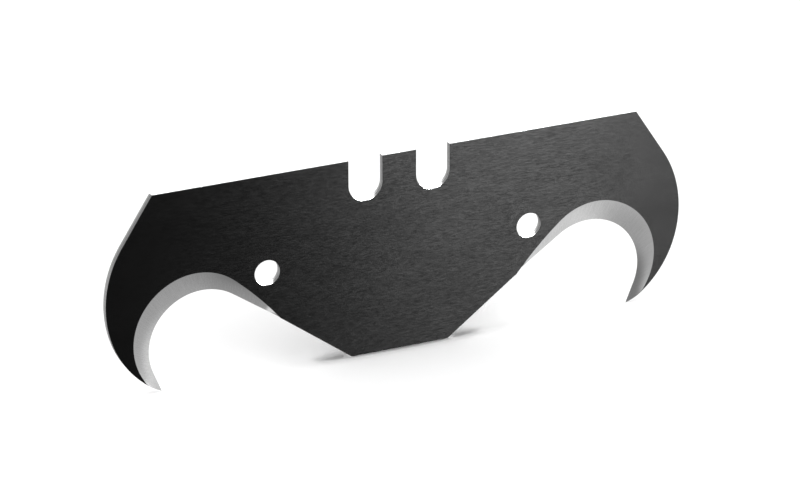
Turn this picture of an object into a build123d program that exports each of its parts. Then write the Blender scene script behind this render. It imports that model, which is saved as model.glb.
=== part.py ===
"""Double-ended hook blade for a utility or flooring knife: one piece of flat, punched and ground strip steel.

The blade stands upright on its length. X runs along the blade, Y through its thickness with the front
face towards -Y, and Z up its height. The origin lies midway between the two locating holes, in the
middle of the thickness. Profiles are drawn flat, with x along the blade and y above the bottom flat.
"""

from build123d import *
from math import asin, atan2, cos, degrees, hypot, radians, sin, sqrt, tan
import os

# Strip steel
THICKNESS = 0.65
HEIGHT = 19.0
LENGTH = 55.7

# Straight edges of the punched outline
TOP_LENGTH = 46.6
SIDE_LEAN = 32.8  # degrees from vertical
BOTTOM_FLAT = 9.4
LOWER_RISE = 36.8  # degrees from horizontal

# Round back of each hook: one arc down the outside, then a slightly tighter one to the tip.
# Turns are angles in degrees round an arc's centre, anticlockwise from +x.
BACK_RADIUS = 10.65
TIP_RADIUS = 9.6
TIP_ARC_TURN = -18.2  # where the tighter arc takes over

# Cutting edge inside each hook: a straight run, a crown, the round gullet, and a straight run to the tip
GULLET_RADIUS = 5.2
GULLET_CENTRE = (18.68, 3.86)
GULLET_CROWN_RADIUS = 5.0
TIP_RUN_TURN = -22.0  # where the run to the tip begins
GRIND_START = 5.1  # height above the bottom flat where the ground edge begins
EDGE_LAND = 0.03  # the flat left along the cutting edge

# Where the ground bevel meets the flat face: a long gentle arc, a crown, a wide arc, and an arc past the tip
BEVEL_RADIUS = 6.23
BEVEL_CENTRE = (19.16, 4.73)
BEVEL_CROWN_RADIUS = 5.54
BEVEL_TIP_RADIUS = 6.8
CROWN_TURN = 66.5  # where the crown gives way to the wide arc, on the bevel and the gullet
CROWN_START_TURN = 130.4
BEVEL_END_TURN = -48.0  # clear of the blade

# Notches in the top edge, and locating holes
NOTCH_PITCH = 6.5
NOTCH_WIDTH = 3.25
NOTCH_DEPTH = 4.05
HOLE_PITCH = 25.4
HOLE_DIAMETER = 2.4
HOLE_HEIGHT = 9.7

CUTTER_REACH = 4.0  # how far the grinding cutter hangs below the blade


def turned(centre, radius, turn):
    """The point on a circle at a turn."""
    return (centre[0] + radius * cos(radians(turn)), centre[1] + radius * sin(radians(turn)))


def arc_between(centre, radius, start_turn, end_turn):
    """The arc of a circle from one turn to another."""
    return ThreePointArc(
        turned(centre, radius, start_turn),
        turned(centre, radius, (start_turn + end_turn) / 2),
        turned(centre, radius, end_turn),
    )


def blade_layer(depth):
    """A drawing plane parallel to the faces. Depth is its place in the thickness, and its normal is -Y."""
    return Plane(origin=(0, depth, -HOLE_HEIGHT), x_dir=(1, 0, 0), z_dir=(0, -1, 0))


# The back arc reaches the full length and is tangent to the leaning side.
back_x = LENGTH / 2 - BACK_RADIUS
side_x = back_x + BACK_RADIUS * cos(radians(SIDE_LEAN))
side_y = HEIGHT - (side_x - TOP_LENGTH / 2) / tan(radians(SIDE_LEAN))
back_centre = (back_x, side_y - BACK_RADIUS * sin(radians(SIDE_LEAN)))
tip_centre = turned(back_centre, BACK_RADIUS - TIP_RADIUS, TIP_ARC_TURN)

# The cutting edge leaves the lower edge where the grind starts, tangent to the gullet's crown.
grind_start = (BOTTOM_FLAT / 2 + GRIND_START / tan(radians(LOWER_RISE)), GRIND_START)
gullet_crown = turned(GULLET_CENTRE, GULLET_RADIUS - GULLET_CROWN_RADIUS, CROWN_TURN)
crown_x = gullet_crown[0] - grind_start[0]
crown_y = gullet_crown[1] - grind_start[1]
run_rise = degrees(atan2(crown_y, crown_x) + asin(GULLET_CROWN_RADIUS / hypot(crown_x, crown_y)))
run_end_turn = run_rise + 90
run_end = turned(gullet_crown, GULLET_CROWN_RADIUS, run_end_turn)
gullet_end = turned(GULLET_CENTRE, GULLET_RADIUS, TIP_RUN_TURN)

# The tip is where the last straight run meets the tip arc.
run_direction = turned((0, 0), 1, TIP_RUN_TURN - 90)
start_x = gullet_end[0] - tip_centre[0]
start_y = gullet_end[1] - tip_centre[1]
run_along = start_x * run_direction[0] + start_y * run_direction[1]
tip_run = sqrt(run_along**2 - start_x**2 - start_y**2 + TIP_RADIUS**2) - run_along
tip = (gullet_end[0] + tip_run * run_direction[0], gullet_end[1] + tip_run * run_direction[1])
tip_turn = degrees(atan2(tip[1] - tip_centre[1], tip[0] - tip_centre[0]))
past_tip = (tip[0] + run_direction[0], tip[1] + run_direction[1])

# Each arc of the bevel boundary is tangent to the next.
bevel_crown = turned(BEVEL_CENTRE, BEVEL_RADIUS - BEVEL_CROWN_RADIUS, CROWN_TURN)
bevel_crown_start = turned(bevel_crown, BEVEL_CROWN_RADIUS, CROWN_START_TURN)
bevel_crown_tangent = turned((0, 0), 1, CROWN_START_TURN + 90)
bevel_tip_centre = turned(BEVEL_CENTRE, BEVEL_RADIUS - BEVEL_TIP_RADIUS, TIP_RUN_TURN)
bevel_end = turned(bevel_tip_centre, BEVEL_TIP_RADIUS, BEVEL_END_TURN)

# Blank: the punched outline with its notches and holes
with BuildPart() as hook_blade:
    with BuildSketch(blade_layer(THICKNESS / 2)):
        with BuildLine():
            Line((0, HEIGHT), (TOP_LENGTH / 2, HEIGHT))
            Line((TOP_LENGTH / 2, HEIGHT), (side_x, side_y))
            arc_between(back_centre, BACK_RADIUS, SIDE_LEAN, TIP_ARC_TURN)
            arc_between(tip_centre, TIP_RADIUS, TIP_ARC_TURN, tip_turn)
            Line(tip, gullet_end)
            arc_between(GULLET_CENTRE, GULLET_RADIUS, TIP_RUN_TURN, CROWN_TURN)
            arc_between(gullet_crown, GULLET_CROWN_RADIUS, CROWN_TURN, run_end_turn)
            Line(run_end, grind_start)
            Line(grind_start, (BOTTOM_FLAT / 2, 0))
            Line((BOTTOM_FLAT / 2, 0), (0, 0))
            mirror(about=Plane.YZ)
        make_face()
        with Locations((-HOLE_PITCH / 2, HOLE_HEIGHT), (HOLE_PITCH / 2, HOLE_HEIGHT)):
            Circle(HOLE_DIAMETER / 2, mode=Mode.SUBTRACT)
        # The upper half of each slot lies above the top edge.
        with Locations((-NOTCH_PITCH / 2, HEIGHT), (NOTCH_PITCH / 2, HEIGHT)):
            SlotOverall(2 * NOTCH_DEPTH, NOTCH_WIDTH, rotation=90, mode=Mode.SUBTRACT)
    extrude(amount=THICKNESS)

# Grinding cutter for the front of the right hook: straight rulings from the bevel boundary on the face to
# the cutting edge, which is in the middle of the thickness
with BuildPart() as grind:
    with BuildSketch(blade_layer(-THICKNESS / 2)):
        with BuildLine():
            TangentArc(bevel_crown_start, grind_start, tangent=bevel_crown_tangent)
            arc_between(bevel_crown, BEVEL_CROWN_RADIUS, CROWN_START_TURN, CROWN_TURN)
            arc_between(BEVEL_CENTRE, BEVEL_RADIUS, CROWN_TURN, TIP_RUN_TURN)
            arc_between(bevel_tip_centre, BEVEL_TIP_RADIUS, TIP_RUN_TURN, BEVEL_END_TURN)
            Line(bevel_end, (bevel_end[0], -CUTTER_REACH))
            Line((bevel_end[0], -CUTTER_REACH), (grind_start[0], -CUTTER_REACH))
            Line((grind_start[0], -CUTTER_REACH), grind_start)
        make_face()
    with BuildSketch(blade_layer(-EDGE_LAND / 2)):
        with BuildLine():
            Line(grind_start, run_end)
            arc_between(gullet_crown, GULLET_CROWN_RADIUS, run_end_turn, CROWN_TURN)
            arc_between(GULLET_CENTRE, GULLET_RADIUS, CROWN_TURN, TIP_RUN_TURN)
            Line(gullet_end, past_tip)
            Line(past_tip, (past_tip[0], -CUTTER_REACH))
            Line((past_tip[0], -CUTTER_REACH), (grind_start[0], -CUTTER_REACH))
            Line((grind_start[0], -CUTTER_REACH), grind_start)
        make_face()
    loft(ruled=True)

# Both sides of both hooks are ground alike.
with hook_blade:
    add(grind.part, mode=Mode.SUBTRACT)
    mirror(grind.part, about=Plane.XZ, mode=Mode.SUBTRACT)
    mirror(grind.part, about=Plane.YZ, mode=Mode.SUBTRACT)
    mirror(grind.part.mirror(Plane.XZ), about=Plane.YZ, mode=Mode.SUBTRACT)

hook_blade.part.label = "hook_blade"
os.makedirs("parts", exist_ok=True)
export_step(hook_blade.part, "parts/hook_blade.step")
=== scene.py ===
"""Double-ended hook blade: the visual model, its materials and its studio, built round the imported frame.

The blade stands upright: X runs along it, the front face looks towards -Y, and Z is up. Its profile is
worked out in millimetres, with x along the blade and y above the bottom flat, and depth is the distance
in front of the middle of the thickness. The finished mesh is in metres.
"""

from math import asin, atan2, ceil, cos, degrees, hypot, radians, sin, sqrt, tan

import bmesh
import bpy
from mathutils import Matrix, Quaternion, Vector


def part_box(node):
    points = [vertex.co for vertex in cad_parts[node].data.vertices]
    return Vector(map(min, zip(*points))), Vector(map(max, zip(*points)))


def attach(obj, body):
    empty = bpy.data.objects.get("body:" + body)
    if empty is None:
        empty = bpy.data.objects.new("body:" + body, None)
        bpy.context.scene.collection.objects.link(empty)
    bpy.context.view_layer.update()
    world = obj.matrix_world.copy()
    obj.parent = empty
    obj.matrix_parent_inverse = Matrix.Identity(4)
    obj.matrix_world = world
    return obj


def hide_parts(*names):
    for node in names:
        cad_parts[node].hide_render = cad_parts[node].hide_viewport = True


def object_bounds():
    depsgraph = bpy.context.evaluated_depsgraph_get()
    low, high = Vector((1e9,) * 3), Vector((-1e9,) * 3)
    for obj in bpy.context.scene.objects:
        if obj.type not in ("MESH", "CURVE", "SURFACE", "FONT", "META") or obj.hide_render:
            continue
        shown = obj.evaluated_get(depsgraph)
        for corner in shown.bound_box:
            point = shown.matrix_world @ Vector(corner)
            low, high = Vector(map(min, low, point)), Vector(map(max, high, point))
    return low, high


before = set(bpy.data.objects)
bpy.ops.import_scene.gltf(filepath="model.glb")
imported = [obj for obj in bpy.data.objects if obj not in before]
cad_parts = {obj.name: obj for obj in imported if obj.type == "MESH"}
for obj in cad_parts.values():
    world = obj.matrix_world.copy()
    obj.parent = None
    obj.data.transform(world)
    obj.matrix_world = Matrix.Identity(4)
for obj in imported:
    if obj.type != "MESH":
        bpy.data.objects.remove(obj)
cad_low, cad_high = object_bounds()

MM = 0.001  # one millimetre in metres

# Strip steel, as packed
node_low, node_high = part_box("hook_blade")
LENGTH = (node_high.x - node_low.x) / MM
THICKNESS = (node_high.y - node_low.y) / MM
HEIGHT = (node_high.z - node_low.z) / MM
BOTTOM = node_low.z / MM

# The punched outline. Turns are angles in degrees round an arc's centre, anticlockwise from +x.
TOP_LENGTH = 46.6
SIDE_LEAN = 32.8
BOTTOM_FLAT = 9.4
LOWER_RISE = 36.8
BACK_RADIUS = 10.65
TIP_RADIUS = 9.6
TIP_ARC_TURN = -18.2
NOTCH_PITCH = 6.5
NOTCH_WIDTH = 3.25
NOTCH_DEPTH = 4.05
HOLE_PITCH = 25.4
HOLE_DIAMETER = 2.4
HOLE_HEIGHT = 9.7

# The cutting edge inside each hook
GULLET_RADIUS = 5.2
GULLET_CENTRE = (18.68, 3.86)
GULLET_CROWN_RADIUS = 5.0
TIP_RUN_TURN = -22.0
GRIND_START = 5.1
EDGE_LAND = 0.03

# The line where the grind meets the flat face
BEVEL_RADIUS = 6.23
BEVEL_CENTRE = (19.16, 4.73)
BEVEL_CROWN_RADIUS = 5.54
BEVEL_TIP_RADIUS = 6.8
CROWN_TURN = 66.5
CROWN_START_TURN = 130.4
BEVEL_END_TURN = -48.0
PAST_TIP = 1.0  # how far the grind runs on beyond the tip
BEVEL_CROWN = 0.035  # how far the ground surface stands out halfway across

# Mesh detail
ARC_STEP = 0.2
HOLE_STEPS = 72
TRIMMED_STEPS = 8  # bevel columns where the outline cuts the bevel short, beside the tip
TIP_RUN_STEPS = 12  # from there to the gullet's end
GULLET_STEPS = 44
CROWN_STEPS = 28
START_STEPS = 26
TAPER_STEPS = 6
CROSSING_HALVINGS = 50
EDGE_ROUND = 0.03  # rollover left by the punch along every face edge
ROUND_TAPER = 0.7  # length over which the rollover fades out beside the grind
ROWS = (0.0, 0.029, 0.097, 0.25, 0.4, 0.55, 0.7, 0.85, 1.0)  # from the face to the cutting edge
ROUND_INSET = (1.0, 0.293)  # inset of the first rows over the rollover, as parts of its size
SHARP_ANGLE = 28.0  # degrees


def turned(centre, radius, turn):
    """The point on a circle at a turn."""
    return (centre[0] + radius * cos(radians(turn)), centre[1] + radius * sin(radians(turn)))


def between(start, end, part):
    """The point part of the way along a straight line."""
    return (start[0] + part * (end[0] - start[0]), start[1] + part * (end[1] - start[1]))


def arc(centre, radius, start_turn, end_turn):
    """Points along an arc, with both ends."""
    sweep = end_turn - start_turn
    steps = ceil(abs(radians(sweep)) * abs(radius) / ARC_STEP)
    return [turned(centre, radius, start_turn + sweep * i / steps) for i in range(steps + 1)]


def smooth(value):
    """0 below 0, 1 above 1, and an even S between."""
    value = min(max(value, 0.0), 1.0)
    return value * value * (3 - 2 * value)


class Profile:
    """The points and arcs of the right half of the blade."""

    def __init__(self):
        back_x = LENGTH / 2 - BACK_RADIUS
        side_x = back_x + BACK_RADIUS * cos(radians(SIDE_LEAN))
        side_y = HEIGHT - (side_x - TOP_LENGTH / 2) / tan(radians(SIDE_LEAN))
        self.back_centre = (back_x, side_y - BACK_RADIUS * sin(radians(SIDE_LEAN)))
        self.tip_centre = turned(self.back_centre, BACK_RADIUS - TIP_RADIUS, TIP_ARC_TURN)
        self.grind_start = (BOTTOM_FLAT / 2 + GRIND_START / tan(radians(LOWER_RISE)), GRIND_START)
        self.gullet_crown = turned(GULLET_CENTRE, GULLET_RADIUS - GULLET_CROWN_RADIUS, CROWN_TURN)
        crown_x = self.gullet_crown[0] - self.grind_start[0]
        crown_y = self.gullet_crown[1] - self.grind_start[1]
        crown_distance = hypot(crown_x, crown_y)
        run_rise = degrees(atan2(crown_y, crown_x) + asin(GULLET_CROWN_RADIUS / crown_distance))
        self.run_end_turn = run_rise + 90
        self.run_end = turned(self.gullet_crown, GULLET_CROWN_RADIUS, self.run_end_turn)
        self.gullet_end = turned(GULLET_CENTRE, GULLET_RADIUS, TIP_RUN_TURN)
        self.run_direction = turned((0, 0), 1, TIP_RUN_TURN - 90)
        self.tip_run = self.to_tip_arc(self.gullet_end, self.run_direction)
        self.tip = self.past_gullet(self.tip_run)
        self.bevel_crown = turned(BEVEL_CENTRE, BEVEL_RADIUS - BEVEL_CROWN_RADIUS, CROWN_TURN)
        self.bevel_tip_centre = turned(BEVEL_CENTRE, BEVEL_RADIUS - BEVEL_TIP_RADIUS, TIP_RUN_TURN)
        self.start_arc = self.gentle_arc()
        self.crossing_part = self.find_crossing()

    def past_gullet(self, distance):
        """The point on the run to the tip, that far from the gullet's end."""
        return (
            self.gullet_end[0] + distance * self.run_direction[0],
            self.gullet_end[1] + distance * self.run_direction[1],
        )

    def to_tip_arc(self, start, direction):
        """How far it is from a point inside the tip arc's circle to that circle."""
        start_x = start[0] - self.tip_centre[0]
        start_y = start[1] - self.tip_centre[1]
        scale = hypot(*direction)
        along = (start_x * direction[0] + start_y * direction[1]) / scale
        return (sqrt(along**2 - start_x**2 - start_y**2 + TIP_RADIUS**2) - along) / scale

    def gentle_arc(self):
        """Centre, radius and turns of the arc from the bevel's crown down to the grind's start."""
        start = turned(self.bevel_crown, BEVEL_CROWN_RADIUS, CROWN_START_TURN)
        inward = turned((0, 0), 1, CROWN_START_TURN + 180)
        chord = (self.grind_start[0] - start[0], self.grind_start[1] - start[1])
        radius = hypot(*chord) ** 2 / (2 * (chord[0] * inward[0] + chord[1] * inward[1]))
        centre = (start[0] + radius * inward[0], start[1] + radius * inward[1])
        start_turn = degrees(atan2(start[1] - centre[1], start[0] - centre[0]))
        end_turn = degrees(atan2(self.grind_start[1] - centre[1], self.grind_start[0] - centre[0]))
        if end_turn - start_turn > 180:
            end_turn -= 360
        if end_turn - start_turn < -180:
            end_turn += 360
        return centre, abs(radius), start_turn, end_turn

    def tip_boundary(self, part):
        """The bevel boundary beside the run to the tip. Part runs from 0 at the gullet to 1 past the tip."""
        turn = TIP_RUN_TURN + part * (BEVEL_END_TURN - TIP_RUN_TURN)
        return turned(self.bevel_tip_centre, BEVEL_TIP_RADIUS, turn)

    def tip_edge(self, part):
        """The cutting edge beside the same place."""
        return self.past_gullet(part * (self.tip_run + PAST_TIP))

    def find_crossing(self):
        """Where, as a part, the bevel boundary runs off the outline."""
        low, high = 0.0, 1.0
        for _ in range(CROSSING_HALVINGS):
            middle = (low + high) / 2
            point = self.tip_boundary(middle)
            if hypot(point[0] - self.tip_centre[0], point[1] - self.tip_centre[1]) < TIP_RADIUS:
                low = middle
            else:
                high = middle
        return low


shape = Profile()


def wall_rows(point, inset=(0, 0), half=THICKNESS / 2):
    """One column of the wall, from the front face to the middle. Inset is the rollover, as a vector."""
    rows = []
    for index, part in enumerate(ROWS):
        share = ROUND_INSET[index] if index < len(ROUND_INSET) else 0.0
        depth = half - part * (half - EDGE_LAND / 2)
        rows.append((point[0] + share * inset[0], point[1] + share * inset[1], depth))
    return rows


def bevel_rows(face_point, edge_point, start=0.0, bulge=1.0):
    """One column of the ground surface, from the flat face or the outline to the cutting edge."""
    rows = []
    for part in ROWS:
        across = start + part * (1 - start)
        x, y = between(face_point, edge_point, across)
        crown = BEVEL_CROWN * bulge * 4 * across * (1 - across)
        depth = THICKNESS / 2 - across * (THICKNESS - EDGE_LAND) / 2 + crown
        rows.append((x, y, depth))
    return rows


def tip_columns():
    """Bevel columns from the tip back to the gullet's end, and where each one starts."""
    tip_part = shape.tip_run / (shape.tip_run + PAST_TIP)
    beyond = tip_part - shape.crossing_part
    trimmed = [shape.crossing_part + beyond * i / TRIMMED_STEPS for i in range(TRIMMED_STEPS, 0, -1)]
    whole = [shape.crossing_part * i / TIP_RUN_STEPS for i in range(TIP_RUN_STEPS, -1, -1)]
    columns = []
    for part in trimmed + whole:
        face_point = shape.tip_boundary(part)
        edge_point = shape.tip_edge(part)
        start = 0.0
        if part > shape.crossing_part:
            back = (face_point[0] - edge_point[0], face_point[1] - edge_point[1])
            start = 1 - min(shape.to_tip_arc(edge_point, back), 1.0)
        columns.append(bevel_rows(face_point, edge_point, start))
    return columns, len(trimmed)


def gullet_columns():
    """Bevel columns round the gullet and up its straight run, from the gullet's end to the grind's start."""
    columns = []
    for i in range(1, GULLET_STEPS + 1):
        turn = TIP_RUN_TURN + (CROWN_TURN - TIP_RUN_TURN) * i / GULLET_STEPS
        face_point = turned(BEVEL_CENTRE, BEVEL_RADIUS, turn)
        columns.append(bevel_rows(face_point, turned(GULLET_CENTRE, GULLET_RADIUS, turn)))
    for i in range(1, CROWN_STEPS + 1):
        face_turn = CROWN_TURN + (CROWN_START_TURN - CROWN_TURN) * i / CROWN_STEPS
        edge_turn = CROWN_TURN + (shape.run_end_turn - CROWN_TURN) * i / CROWN_STEPS
        face_point = turned(shape.bevel_crown, BEVEL_CROWN_RADIUS, face_turn)
        columns.append(bevel_rows(face_point, turned(shape.gullet_crown, GULLET_CROWN_RADIUS, edge_turn)))
    centre, radius, start_turn, end_turn = shape.start_arc
    for i in range(1, START_STEPS + 1):
        part = i / START_STEPS
        face_point = turned(centre, radius, start_turn + part * (end_turn - start_turn))
        bulge = 1 - smooth(part)
        columns.append(bevel_rows(face_point, between(shape.run_end, shape.grind_start, part), bulge=bulge))
    return columns


def outer_points():
    """Outline from the top centre, round the notch and down the back, to the bevel's boundary."""
    notch_x = NOTCH_PITCH / 2
    notch_radius = NOTCH_WIDTH / 2
    notch_y = HEIGHT - NOTCH_DEPTH + notch_radius
    crossing = shape.tip_boundary(shape.crossing_part)
    crossing_turn = degrees(atan2(crossing[1] - shape.tip_centre[1], crossing[0] - shape.tip_centre[0]))
    points = [(0, HEIGHT), (notch_x - notch_radius, HEIGHT)]
    points += arc((notch_x, notch_y), notch_radius, 180, 360)
    points += [(notch_x + notch_radius, HEIGHT), (TOP_LENGTH / 2, HEIGHT)]
    points += arc(shape.back_centre, BACK_RADIUS, SIDE_LEAN, TIP_ARC_TURN)
    points += arc(shape.tip_centre, TIP_RADIUS, TIP_ARC_TURN, crossing_turn)[1:]
    return points


def inner_points():
    """Outline from the grind's start down to the bottom centre."""
    corner = (BOTTOM_FLAT / 2, 0)
    near_start = []
    for i in range(TAPER_STEPS + 1):
        near_start.append(between(shape.grind_start, corner, ROUND_TAPER * i / TAPER_STEPS / GRIND_START))
    return near_start + [corner, (0, 0)]


def insets(points, before, after):
    """Inward mitre vectors along an open stretch of outline that has the material on its right."""
    vectors = []
    for index, point in enumerate(points):
        last = points[index - 1] if index else before
        following = points[index + 1] if index + 1 < len(points) else after
        normals = []
        for start, end in ((last, point), (point, following)):
            run = hypot(end[0] - start[0], end[1] - start[1])
            normals.append(((end[1] - start[1]) / run, -(end[0] - start[0]) / run))
        first, second = normals
        share = EDGE_ROUND / (1 + first[0] * second[0] + first[1] * second[1])
        vectors.append(((first[0] + second[0]) * share, (first[1] + second[1]) * share))
    return vectors


def faded(vectors, points, end):
    """The same insets, fading to nothing at one end of the stretch."""
    result = []
    for vector, point in zip(vectors, points):
        share = smooth(hypot(point[0] - end[0], point[1] - end[1]) / ROUND_TAPER)
        result.append((vector[0] * share, vector[1] * share))
    return result


def right_half():
    """Columns of the right half: the plain wall to the crossing, the bevel, and the lower wall."""
    outer = outer_points()
    beyond = shape.tip
    outer_insets = faded(insets(outer, (-1, HEIGHT), beyond), outer, outer[-1])
    outer_wall = [wall_rows(point, inset) for point, inset in zip(outer, outer_insets)]
    tips, trimmed_count = tip_columns()
    tip_wall = [wall_rows(column[0][:2], half=column[0][2]) for column in reversed(tips[:trimmed_count])]
    inner = inner_points()
    inner_insets = faded(insets(inner, shape.run_end, (-1, 0)), inner, inner[0])
    inner_wall = [wall_rows(point, inset) for point, inset in zip(inner, inner_insets)]
    bevel = tips + gullet_columns()
    return outer_wall, tip_wall, bevel, trimmed_count, inner_wall


COATED, GROUND, PUNCHED = 0, 1, 2


class BladeMesh:
    """Gathers the blade's surface, column by column, into one clean mesh."""

    def __init__(self):
        self.bm = bmesh.new()
        self.uv = self.bm.loops.layers.uv.new("surface_mm")
        self.wear = self.bm.loops.layers.float.new("edge_wear")

    def whole_column(self, rows, side):
        """Vertices of a column, from the front face through to the back. Side is 1 on the right or -1."""
        through = rows + [(x, y, -depth) for x, y, depth in reversed(rows)]
        return [self.bm.verts.new((side * x, -depth, y + BOTTOM)) for x, y, depth in through]

    def strip(self, columns, side, material):
        """Quads between neighbouring columns."""
        along = 0.0
        made = [self.whole_column(rows, side) for rows in columns]
        last = len(made[0]) - 1
        for index in range(len(made) - 1):
            left, right = made[index], made[index + 1]
            next_along = along + (right[-1].co - left[-1].co).length
            across = 0.0
            for row in range(last):
                corners = (left[row], left[row + 1], right[row + 1], right[row])
                left_width = (left[row + 1].co - left[row].co).length
                right_width = (right[row + 1].co - right[row].co).length
                next_across = across + max(left_width, right_width)
                places = (
                    (along, across),
                    (along, next_across),
                    (next_along, next_across),
                    (next_along, across),
                )
                slot, wears = self.band(row, last, material)
                self.quad(corners, places, slot, wears, side)
                across = next_across
            along = next_along
        return made

    def band(self, row, last, material):
        """Material of a band between two rows, and how worn it is at each of them."""
        rounds = len(ROUND_INSET)
        near = min(row, last - 1 - row)
        if material == PUNCHED and near < rounds:
            lower, upper = near / rounds, (near + 1) / rounds
            if row < rounds:
                return COATED, (lower, upper)
            return COATED, (upper, lower)
        return material, (0.0, 0.0)

    def quad(self, corners, places, slot, wears, side):
        """One face, with its place on the surface map and the wear at its corners."""
        order = (0, 1, 2, 3) if side > 0 else (3, 2, 1, 0)
        face = self.bm.faces.new([corners[i] for i in order])
        face.material_index = slot
        for loop, i in zip(face.loops, order):
            loop[self.uv].uv = places[i]
            loop[self.wear] = wears[1] if i in (1, 2) else wears[0]

    def flat_face(self, loops, depth_sign):
        """The plain face inside an outline and round its holes."""
        edges = []
        for points in loops:
            ring = [self.bm.verts.new((x, -depth_sign * THICKNESS / 2, y + BOTTOM)) for x, y in points]
            for index, vertex in enumerate(ring):
                edges.append(self.bm.edges.new((vertex, ring[(index + 1) % len(ring)])))
        filled = bmesh.ops.triangle_fill(self.bm, edges=edges, use_beauty=True, normal=(0, -depth_sign, 0))
        for item in filled["geom"]:
            if isinstance(item, bmesh.types.BMFace):
                item.material_index = COATED
                if item.normal.y * depth_sign > 0:
                    item.normal_flip()
                for loop in item.loops:
                    loop[self.uv].uv = (loop.vert.co.x, loop.vert.co.z)

    def finished(self, name):
        """The mesh in metres, with its sharp edges marked."""
        bm = self.bm
        bmesh.ops.remove_doubles(bm, verts=bm.verts, dist=1e-4)
        bmesh.ops.dissolve_degenerate(bm, edges=bm.edges, dist=1e-5)
        bmesh.ops.recalc_face_normals(bm, faces=bm.faces)
        for face in bm.faces:
            face.smooth = True
        for edge in bm.edges:
            flat = [abs(face.normal.y) > 0.99999 for face in edge.link_faces]
            if len(flat) != 2 or flat[0] != flat[1]:
                edge.smooth = False
            elif edge.calc_face_angle(0) > radians(SHARP_ANGLE):
                edge.smooth = False
        bmesh.ops.scale(bm, vec=(MM, MM, MM), verts=bm.verts)
        mesh = bpy.data.meshes.new(name)
        bm.to_mesh(mesh)
        bm.free()
        return mesh


def face_outline(outer_wall, bevel, trimmed_count, inner_wall):
    """The flat face's edge: over the rollover round the outside, and along the bevel boundary."""
    right = [rows[0][:2] for rows in outer_wall]
    right += [rows[0][:2] for rows in bevel[trimmed_count + 1:]]
    right += [rows[0][:2] for rows in inner_wall[1:]]
    left = [(-x, y) for x, y in reversed(right)]
    return right + left[1:-1]


def hole_columns(centre_x):
    """Wall columns round a locating hole, closed on itself."""
    columns = []
    for index in range(HOLE_STEPS + 1):
        turn = 360 * index / HOLE_STEPS
        point = turned((centre_x, HOLE_HEIGHT), HOLE_DIAMETER / 2, turn)
        columns.append(wall_rows(point, turned((0, 0), EDGE_ROUND, turn)))
    return columns


def build_blade():
    """The whole blade as one object."""
    blade = BladeMesh()
    outer_wall, tip_wall, bevel, trimmed_count, inner_wall = right_half()
    for side in (1, -1):
        blade.strip(outer_wall, side, PUNCHED)
        blade.strip([outer_wall[-1]] + tip_wall, side, PUNCHED)
        blade.strip(bevel, side, GROUND)
        blade.strip(inner_wall, side, PUNCHED)
    holes = [hole_columns(-HOLE_PITCH / 2), hole_columns(HOLE_PITCH / 2)]
    for columns in holes:
        blade.strip(columns, 1, PUNCHED)
    loops = [face_outline(outer_wall, bevel, trimmed_count, inner_wall)]
    loops += [[rows[0][:2] for rows in columns[:-1]] for columns in holes]
    for depth_sign in (1, -1):
        blade.flat_face(loops, depth_sign)
    mesh = blade.finished("ground_hook_blade")
    piece = bpy.data.objects.new("ground_hook_blade", mesh)
    bpy.context.scene.collection.objects.link(piece)
    return piece


class Nodes:
    """Short words for building a node tree."""

    def __init__(self, tree):
        self.tree = tree
        tree.nodes.clear()

    def add(self, kind, settings=None, **inputs):
        """A node of that kind. Settings are its properties, and inputs are its sockets by number or name."""
        node = self.tree.nodes.new(kind)
        for name, value in (settings or {}).items():
            setattr(node, name, value)
        for name, value in inputs.items():
            socket = node.inputs[int(name[1:])] if name[1:].isdigit() else node.inputs[name.replace("_", " ")]
            self.join(value, socket)
        return node

    def join(self, value, socket):
        """Links a socket to another one, or sets it to a value."""
        if isinstance(value, bpy.types.NodeSocket):
            self.tree.links.new(value, socket)
        else:
            socket.default_value = value

    def math(self, operation, first, second=0.0, third=0.0):
        """The result of one sum."""
        node = self.add("ShaderNodeMath", {"operation": operation}, i0=first, i1=second, i2=third)
        return node.outputs[0]

    def remap(self, value, low, high, new_low, new_high):
        """Value from one range to another, held at both ends."""
        ends = {"i1": low, "i2": high, "i3": new_low, "i4": new_high}
        return self.add("ShaderNodeMapRange", {"clamp": True}, i0=value, **ends).outputs[0]

    def step(self, value, start, end, height):
        """From 0 to height as an angle goes from start to end, in degrees, with soft ends."""
        low, high = sorted((radians(start), radians(end)))
        settings = {"interpolation_type": "SMOOTHSTEP"}
        ends = (0.0, height) if start < end else (height, 0.0)
        node = self.add("ShaderNodeMapRange", settings, i0=value, i1=low, i2=high, i3=ends[0], i4=ends[1])
        return node.outputs[0]

    def grain(self, place, scale, detail=4.0, roughness=0.6, shift=0.0):
        """Noise from 0 to 1, with a number of features per millimetre along each axis."""
        moved = self.add(
            "ShaderNodeMapping",
            None,
            Vector=place,
            Location=(shift, shift * 1.7, shift * 2.3),
            Scale=scale,
        )
        noise = self.add("ShaderNodeTexNoise", None, Scale=1.0, Detail=detail, Roughness=roughness)
        self.join(moved.outputs[0], noise.inputs["Vector"])
        return noise.outputs["Fac"]

    def grey(self, value):
        """A grey of that level."""
        node = self.add("ShaderNodeCombineColor", None, Red=value, Green=value, Blue=value)
        return node.outputs[0]

    def bump(self, height, distance, strength):
        """A normal for fine relief. Distance is its depth in metres."""
        node = self.add("ShaderNodeBump", None, Strength=strength, Distance=distance, Height=height)
        return node.outputs[0]

    def blend(self, share, first, second):
        """The first value where share is 0, the second where it is 1."""
        node = self.add("ShaderNodeMix", {"data_type": "FLOAT"}, i0=share, i2=first, i3=second)
        return node.outputs[0]

    def across_millimetres(self):
        """Object coordinates in millimetres."""
        place = self.add("ShaderNodeTexCoord").outputs["Object"]
        scaled = self.add("ShaderNodeVectorMath", {"operation": "SCALE"}, i0=place, Scale=1 / MM)
        return scaled.outputs[0]


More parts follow.
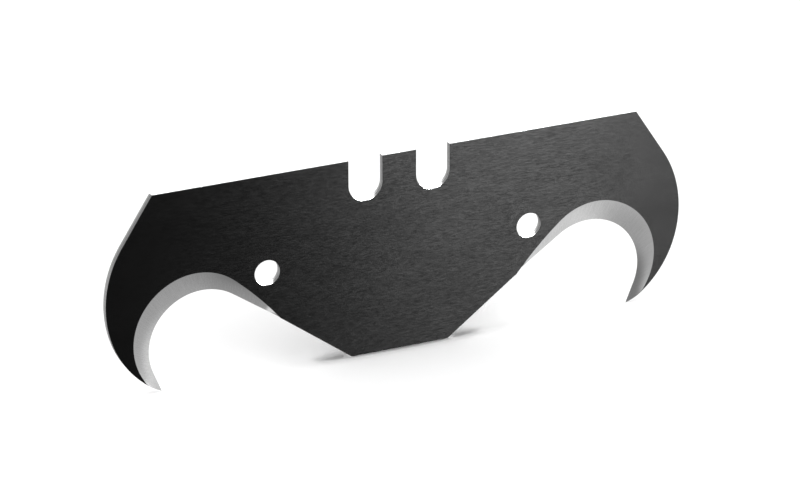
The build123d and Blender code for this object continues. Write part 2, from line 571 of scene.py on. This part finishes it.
# Materials: grey levels and roughness, each from the pattern's low end to its high end, and depths of relief
COATING_TONE = (0.0071, 0.0143)
COATING_ROUGHNESS = (0.243, 0.257)
COATING_STRETCH = 0.9  # stretches the highlight up and down: 0 is round, 1 is the most
COATING_RELIEF = 0.00001
FADE_REACH = (17.0, 25.0)  # distance from the middle over which the streaks fade, in millimetres
FADED_STREAKS = 0.35
RUBBED_TONE = (0.02, 0.12)
GROUND_TONE = (0.65, 0.75)
GROUND_ROUGHNESS = (0.18, 0.13)
GROUND_RELIEF = 0.000004
PUNCHED_TONE = (0.42, 0.62)
PUNCHED_ROUGHNESS = (0.22, 0.48)  # burnished, torn
PUNCHED_RELIEF = 0.00001
TORN_DARKENING = 0.8
TORN_START = (0.02, 0.07)  # distance behind the middle of the thickness, in millimetres
TORN_RAGGEDNESS = 0.12
PAPER_TONE = 0.9


def new_material(name):
    """An empty material: its nodes and its shader."""
    material = bpy.data.materials.new(name)
    material.use_nodes = True
    nodes = Nodes(material.node_tree)
    output = nodes.add("ShaderNodeOutputMaterial")
    shader = nodes.add("ShaderNodeBsdfPrincipled")
    nodes.join(shader.outputs[0], output.inputs["Surface"])
    return material, nodes, shader


def coating():
    """Thin satin black coating over steel brushed along the blade, rubbed thin over the rollover."""
    material, nodes, shader = new_material("black_coating")
    place = nodes.across_millimetres()
    dashes = nodes.grain(place, (1.5, 1.0, 9.0), detail=1.0, roughness=0.5)
    fine = nodes.grain(place, (3.0, 1.0, 17.0), detail=0.0, shift=7.0)
    drift = nodes.grain(place, (0.12, 0.1, 0.3), detail=2.0, shift=3.0)
    streaks = nodes.math("ADD", nodes.math("MULTIPLY", dashes, 0.65), nodes.math("MULTIPLY", fine, 0.35))
    along = nodes.add("ShaderNodeSeparateXYZ", None, Vector=place).outputs[0]
    fade = nodes.remap(nodes.math("ABSOLUTE", along), *FADE_REACH, 1.0, FADED_STREAKS)
    streaks = nodes.math("MULTIPLY_ADD", nodes.math("SUBTRACT", streaks, 0.5), fade, 0.5)
    tone = nodes.remap(streaks, 0.3, 0.7, *COATING_TONE)
    tone = nodes.math("MULTIPLY", tone, nodes.remap(drift, 0.3, 0.7, 0.92, 1.08))
    wear = nodes.add("ShaderNodeAttribute", {"attribute_name": "edge_wear"}).outputs["Fac"]
    bare = nodes.remap(streaks, 0.4, 0.6, *RUBBED_TONE)
    rubbed = nodes.math("MULTIPLY", nodes.math("POWER", wear, 2.0), bare)
    tone = nodes.math("ADD", tone, nodes.math("MULTIPLY", rubbed, 0.5))
    nodes.join(nodes.grey(tone), shader.inputs["Base Color"])
    shader.inputs["Metallic"].default_value = 1.0
    nodes.join(nodes.remap(streaks, 0.35, 0.65, *COATING_ROUGHNESS), shader.inputs["Roughness"])
    shader.inputs["Anisotropic"].default_value = COATING_STRETCH
    shader.inputs["Anisotropic Rotation"].default_value = 0.25  # a quarter turn, across the brushing
    tangent = nodes.add("ShaderNodeTangent", {"direction_type": "UV_MAP", "uv_map": "surface_mm"})
    nodes.join(tangent.outputs[0], shader.inputs["Tangent"])
    nodes.join(nodes.bump(streaks, COATING_RELIEF, 0.35), shader.inputs["Normal"])
    return material


def ground_steel():
    """Bare steel of the bevels, with fine grinding marks from the flat face to the cutting edge."""
    material, nodes, shader = new_material("ground_steel")
    map_node = nodes.add("ShaderNodeUVMap", {"uv_map": "surface_mm"})
    place = map_node.outputs[0]
    marks = nodes.grain(place, (9.0, 0.7, 1.0), detail=3.0)
    fine = nodes.grain(nodes.across_millimetres(), (8.0, 8.0, 8.0), detail=3.0, shift=5.0)
    drift = nodes.grain(nodes.across_millimetres(), (0.35, 0.35, 0.35), detail=2.0, shift=2.0)
    texture = nodes.math("ADD", nodes.math("MULTIPLY", marks, 0.6), nodes.math("MULTIPLY", fine, 0.4))
    tone = nodes.remap(texture, 0.35, 0.65, *GROUND_TONE)
    tone = nodes.math("MULTIPLY", tone, nodes.remap(drift, 0.3, 0.7, 0.96, 1.03))
    nodes.join(nodes.grey(tone), shader.inputs["Base Color"])
    shader.inputs["Metallic"].default_value = 1.0
    nodes.join(nodes.remap(texture, 0.35, 0.65, *GROUND_ROUGHNESS), shader.inputs["Roughness"])
    nodes.join(nodes.bump(texture, GROUND_RELIEF, 0.25), shader.inputs["Normal"])
    return material


def punched_steel():
    """Bare steel of the punched walls: a burnished band with lines through it, then a torn band."""
    material, nodes, shader = new_material("punched_steel")
    map_node = nodes.add("ShaderNodeUVMap", {"uv_map": "surface_mm"})
    place = map_node.outputs[0]
    depth = nodes.add("ShaderNodeSeparateXYZ", None, Vector=nodes.across_millimetres()).outputs[1]
    lines = nodes.grain(place, (11.0, 0.5, 1.0), detail=3.0)
    torn = nodes.grain(place, (9.0, 12.0, 1.0), detail=4.0, shift=4.0)
    ragged = nodes.math("MULTIPLY_ADD", nodes.math("SUBTRACT", lines, 0.5), TORN_RAGGEDNESS, depth)
    fracture = nodes.remap(ragged, *TORN_START, 0.0, 1.0)
    surface = nodes.blend(fracture, lines, torn)
    bright = nodes.remap(surface, 0.3, 0.7, *PUNCHED_TONE)
    tone = nodes.math("MULTIPLY", bright, nodes.remap(fracture, 0.0, 1.0, 1.0, TORN_DARKENING))
    nodes.join(nodes.grey(tone), shader.inputs["Base Color"])
    shader.inputs["Metallic"].default_value = 1.0
    nodes.join(nodes.remap(fracture, 0.0, 1.0, *PUNCHED_ROUGHNESS), shader.inputs["Roughness"])
    nodes.join(nodes.bump(surface, PUNCHED_RELIEF, 0.4), shader.inputs["Normal"])
    return material


def studio_paper():
    """Plain white floor."""
    material, nodes, shader = new_material("studio_paper")
    nodes.join(nodes.grey(PAPER_TONE), shader.inputs["Base Color"])
    shader.inputs["Roughness"].default_value = 0.9
    shader.inputs["Specular IOR Level"].default_value = 0.0
    return material


# Camera: the direction from the object to it, its distance and its lens
CAMERA_AZIMUTH = -23.69
CAMERA_ELEVATION = 24.19
CAMERA_ROLL = -0.12
CAMERA_DISTANCE = 0.3962
CAMERA_AIM = (0.00011, -0.00015, -0.0002)
CAMERA_LENS = 200.3


# Studio
FLOOR_REACH = 4.0
FLOOR_LIGHT = 1.38
FRONT_SHARE = 0.25  # how far the light comes from the front more than from all round
WORLD_BLEND = 0.3  # how far from the middle the change from the front's light to the back's reaches
TENT_RADIUS = 0.13
KEY_DISTANCE = 0.256
KEY_TURN = 26.5
FILL_DISTANCE = 0.35

# The tent's light. A band goes from no light at its first angle to its full light at its second, in degrees.
TENT_BASE = 0.19
RIGHT_BAND = (4, 20, 0.25)
FAR_RIGHT_BAND = (29, 46, 0.39)
FAR_RIGHT_HORIZON = (-6, -24, 0.45)  # brings the far right's light down towards the horizon
FAR_LEFT_BAND = (-40, -65, 0.55)
LOW_BAND = (-38, -62, 0.08)
LOW_LEFT_BAND = (18, 2, 0.12)
LOW_LEFT_RISE = (-34, -46, 1.0)
HORIZON = (4, -6, 1.0)  # from the upper light to the lower one
UPPER_LEFT_BAND = (14, -15, 1.8)
UPPER_LEFT_RISE = (4, 14, 1.0)
UPPER_BASE = (0.03, 0.42)  # in front of the blade, behind it
MIDDLE_BLEND = 0.02  # half width of the change from the front half to the back half


def direction(azimuth, elevation):
    """Unit vector from the object. Azimuth 0 is straight in front of the front face, and 90 is towards +X."""
    level = cos(radians(elevation))
    return Vector((sin(radians(azimuth)) * level, -cos(radians(azimuth)) * level, sin(radians(elevation))))


def add_camera():
    """The photograph's camera."""
    data = bpy.data.cameras.new("camera")
    data.lens = CAMERA_LENS
    data.clip_start = 0.01
    camera = bpy.data.objects.new("camera", data)
    bpy.context.scene.collection.objects.link(camera)
    back = direction(CAMERA_AZIMUTH, CAMERA_ELEVATION)
    camera.location = Vector(CAMERA_AIM) + CAMERA_DISTANCE * back
    turn = back.to_track_quat("Z", "Y") @ Quaternion((0, 0, 1), radians(CAMERA_ROLL))
    camera.rotation_euler = turn.to_euler()
    bpy.context.scene.camera = camera


def add_softbox(name, azimuth, elevation, distance, width, height, power):
    """A rectangular light that faces the object and makes highlights. The floor doesn't take its light."""
    data = bpy.data.lights.new(name, "AREA")
    data.shape = "RECTANGLE"
    data.size = width
    data.size_y = height
    data.energy = power
    light = bpy.data.objects.new(name, data)
    bpy.context.scene.collection.objects.link(light)
    back = direction(azimuth, elevation)
    light.location = distance * back
    light.rotation_euler = back.to_track_quat("Z", "Y").to_euler()
    light.visible_camera = False
    light.visible_diffuse = False


def add_stage_piece(name, mesh, material):
    """A piece of the studio, which isn't part of the object."""
    piece = bpy.data.objects.new(name, mesh)
    mesh.materials.append(material)
    bpy.context.scene.collection.objects.link(piece)
    piece.visible_shadow = False
    return piece


def add_floor():
    """A wide white floor under the blade. Glossy rays pass through it to the tent."""
    z = cad_low.z
    mesh = bpy.data.meshes.new("floor")
    signs = ((-1, -1), (1, -1), (1, 1), (-1, 1))
    mesh.from_pydata([(x * FLOOR_REACH, y * FLOOR_REACH, z) for x, y in signs], [], [(0, 1, 2, 3)])
    floor = add_stage_piece("floor", mesh, studio_paper())
    floor.visible_glossy = False


def add_shadow_flag(name, half_length, half_width, height):
    """A small dark oval above the floor that only deepens the soft shadow under the blade."""
    bm = bmesh.new()
    bmesh.ops.create_circle(bm, cap_ends=True, segments=64, radius=1.0)
    bmesh.ops.scale(bm, vec=(half_length, half_width, 1.0), verts=bm.verts)
    bmesh.ops.translate(bm, vec=(0, 0, cad_low.z + height), verts=bm.verts)
    mesh = bpy.data.meshes.new(name)
    bm.to_mesh(mesh)
    bm.free()
    material, nodes, shader = new_material(name)
    nodes.join(nodes.grey(0.0), shader.inputs["Base Color"])
    shader.inputs["Specular IOR Level"].default_value = 0.0
    flag = add_stage_piece(name, mesh, material)
    flag.visible_camera = False
    flag.visible_glossy = False


def lower_light(nodes, azimuth, elevation):
    """Light below the horizon: dark on the left, brighter on the right, at the far left and low down."""
    right = nodes.step(azimuth, *RIGHT_BAND)
    far_right = nodes.step(azimuth, *FAR_RIGHT_BAND)
    below = nodes.math("ADD", nodes.step(elevation, *FAR_RIGHT_HORIZON), 1 - FAR_RIGHT_HORIZON[2])
    far_right = nodes.math("MULTIPLY", far_right, below)
    low = nodes.step(elevation, *LOW_BAND)
    low_left = nodes.math(
        "MULTIPLY",
        nodes.step(azimuth, *LOW_LEFT_BAND),
        nodes.step(elevation, *LOW_LEFT_RISE),
    )
    far_left = nodes.step(azimuth, *FAR_LEFT_BAND)
    total = TENT_BASE
    for light in (right, far_right, low, low_left, far_left):
        total = nodes.math("ADD", light, total)
    return total


def upper_light(nodes, azimuth, elevation, base):
    """Light above the horizon: strong on the left, for the walls that face up, and weak elsewhere."""
    upper_left = nodes.math(
        "MULTIPLY",
        nodes.step(azimuth, *UPPER_LEFT_BAND),
        nodes.step(elevation, *UPPER_LEFT_RISE),
    )
    return nodes.math("ADD", upper_left, base)


def tent_light():
    """Light of the tent, by direction from the blade, which reflections also pass through to the softboxes.

    The back half is the front half turned by 180 degrees, apart from the base level of its upper part.
    """
    material = bpy.data.materials.new("tent_light")
    material.use_nodes = True
    nodes = Nodes(material.node_tree)
    output = nodes.add("ShaderNodeOutputMaterial")
    place = nodes.add("ShaderNodeTexCoord").outputs["Object"]
    unit = nodes.add("ShaderNodeVectorMath", {"operation": "NORMALIZE"}, i0=place)
    x, y, z = nodes.add("ShaderNodeSeparateXYZ", None, Vector=unit.outputs[0]).outputs
    facing = nodes.remap(y, -MIDDLE_BLEND, MIDDLE_BLEND, 1.0, -1.0)
    azimuth = nodes.math("ARCTAN2", nodes.math("MULTIPLY", x, facing), nodes.math("ABSOLUTE", y))
    elevation = nodes.math("ARCSINE", z)
    upper_base = nodes.remap(y, -MIDDLE_BLEND, MIDDLE_BLEND, *UPPER_BASE)
    upper = upper_light(nodes, azimuth, elevation, upper_base)
    lower = lower_light(nodes, azimuth, elevation)
    level = nodes.blend(nodes.step(elevation, *HORIZON), upper, lower)
    emission = nodes.add("ShaderNodeEmission", None, Color=(1, 1, 1, 1), Strength=level)
    clear = nodes.add("ShaderNodeBsdfTransparent")
    both = nodes.add("ShaderNodeAddShader", None, i0=emission.outputs[0], i1=clear.outputs[0])
    nodes.join(both.outputs[0], output.inputs["Surface"])
    return material


def add_tent():
    """A small round light tent that only reflections see."""
    bm = bmesh.new()
    bmesh.ops.create_icosphere(bm, subdivisions=5, radius=TENT_RADIUS)
    mesh = bpy.data.meshes.new("tent")
    bm.to_mesh(mesh)
    bm.free()
    tent = add_stage_piece("tent", mesh, tent_light())
    tent.visible_camera = False
    tent.visible_diffuse = False


def add_world():
    """White surroundings, a little brighter in front than behind. Reflections see the tent instead."""
    world = bpy.data.worlds.new("studio")
    bpy.context.scene.world = world
    world.use_nodes = True
    nodes = Nodes(world.node_tree)
    output = nodes.add("ShaderNodeOutputWorld")
    place = nodes.add("ShaderNodeTexCoord").outputs["Generated"]
    depth = nodes.add("ShaderNodeSeparateXYZ", None, Vector=place).outputs[1]
    behind, before = FLOOR_LIGHT * (1 - FRONT_SHARE), FLOOR_LIGHT * (1 + FRONT_SHARE)
    level = nodes.remap(depth, WORLD_BLEND, -WORLD_BLEND, behind, before)
    ray = nodes.add("ShaderNodeLightPath").outputs
    strength = nodes.blend(ray["Is Diffuse Ray"], 1.0, level)
    strength = nodes.math("MULTIPLY", strength, nodes.math("SUBTRACT", 1.0, ray["Is Glossy Ray"]))
    background = nodes.add("ShaderNodeBackground", None, Color=(1, 1, 1, 1), Strength=strength)
    nodes.join(background.outputs[0], output.inputs["Surface"])
    world.cycles.sampling_method = "NONE"


add_camera()
add_floor()
add_world()
add_tent()
# The back's key stands on the side where the notches' walls don't mirror it to the camera
for side, turn, key_turn in (("front", 0, KEY_TURN), ("back", 180, -KEY_TURN)):
    add_softbox(
        "key_" + side,
        azimuth=turn + key_turn,
        elevation=1,
        distance=KEY_DISTANCE,
        width=0.052,
        height=0.08,
        power=1.0,
    )
    add_softbox(
        "fill_" + side,
        azimuth=turn - 47,
        elevation=16,
        distance=FILL_DISTANCE,
        width=0.12,
        height=0.12,
        power=3.2,
    )
    add_softbox(
        "level_" + side,
        azimuth=turn - 2,
        elevation=28,
        distance=FILL_DISTANCE,
        width=0.09,
        height=0.09,
        power=1.3,
    )
add_shadow_flag("broad_flag", half_length=0.013, half_width=0.0014, height=0.003)
add_shadow_flag("contact_flag", half_length=0.0082, half_width=0.0009, height=0.0005)

piece = build_blade()
for material in (coating(), ground_steel(), punched_steel()):
    piece.data.materials.append(material)
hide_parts("hook_blade")
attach(piece, "root")

bpy.context.scene.view_settings.view_transform = "Standard"
